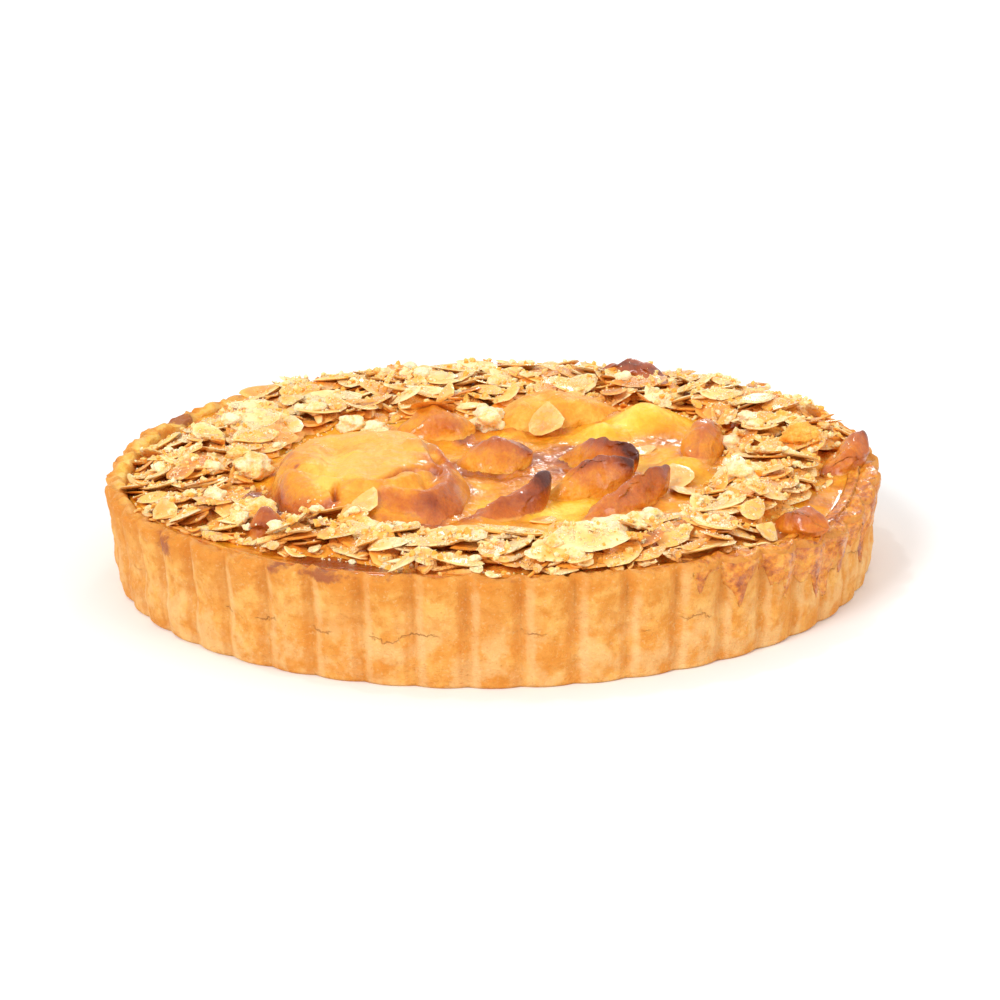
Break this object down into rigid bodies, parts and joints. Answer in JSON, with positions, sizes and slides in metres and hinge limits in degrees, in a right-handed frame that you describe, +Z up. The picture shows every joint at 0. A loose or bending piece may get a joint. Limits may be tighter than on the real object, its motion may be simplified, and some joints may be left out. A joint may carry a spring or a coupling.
{
  "type": "fruit tart",
  "caption": "Round fluted shortcrust tart filled with custard and baked apple pieces, with a wide border of sugared almond flakes; rests on its flat base.",
  "frame": {"origin": "middle of the flat underside of the crust", "axes": "+Z up, -Y towards the viewer of the reference view, +X to the viewer's right"},
  "size_m": [0.2472, 0.2476, 0.0439],
  "materials": {
    "pastry": "baked shortcrust, matt, golden, browner along the rim and in the grooves",
    "custard": "baked custard, smooth, yellow to amber, half gloss",
    "baked_apple": "baked apple under a clear glaze, orange, with dark brown edges",
    "almond": "toasted almond flakes with sugar crystals, matt"
  },
  "bodies": {
    "root": {"crust": "pastry", "filling": "custard", "almond_border": "almond", "apple_quarter": "baked_apple", "apple_slice_back_left": "baked_apple", "apple_slice_middle": "baked_apple", "apple_slice_centre": "baked_apple", "apple_slice_front_left": "baked_apple", "apple_slice_front": "baked_apple", "apple_slice_front_right": "baked_apple", "apple_slice_back": "baked_apple", "apple_slice_right": "baked_apple", "apple_chunk_right": "baked_apple", "apple_chunk_front_right": "baked_apple", "apple_slice_back_rim": "baked_apple", "apple_chunk_front_left": "baked_apple"}
  },
  "joints": []
}
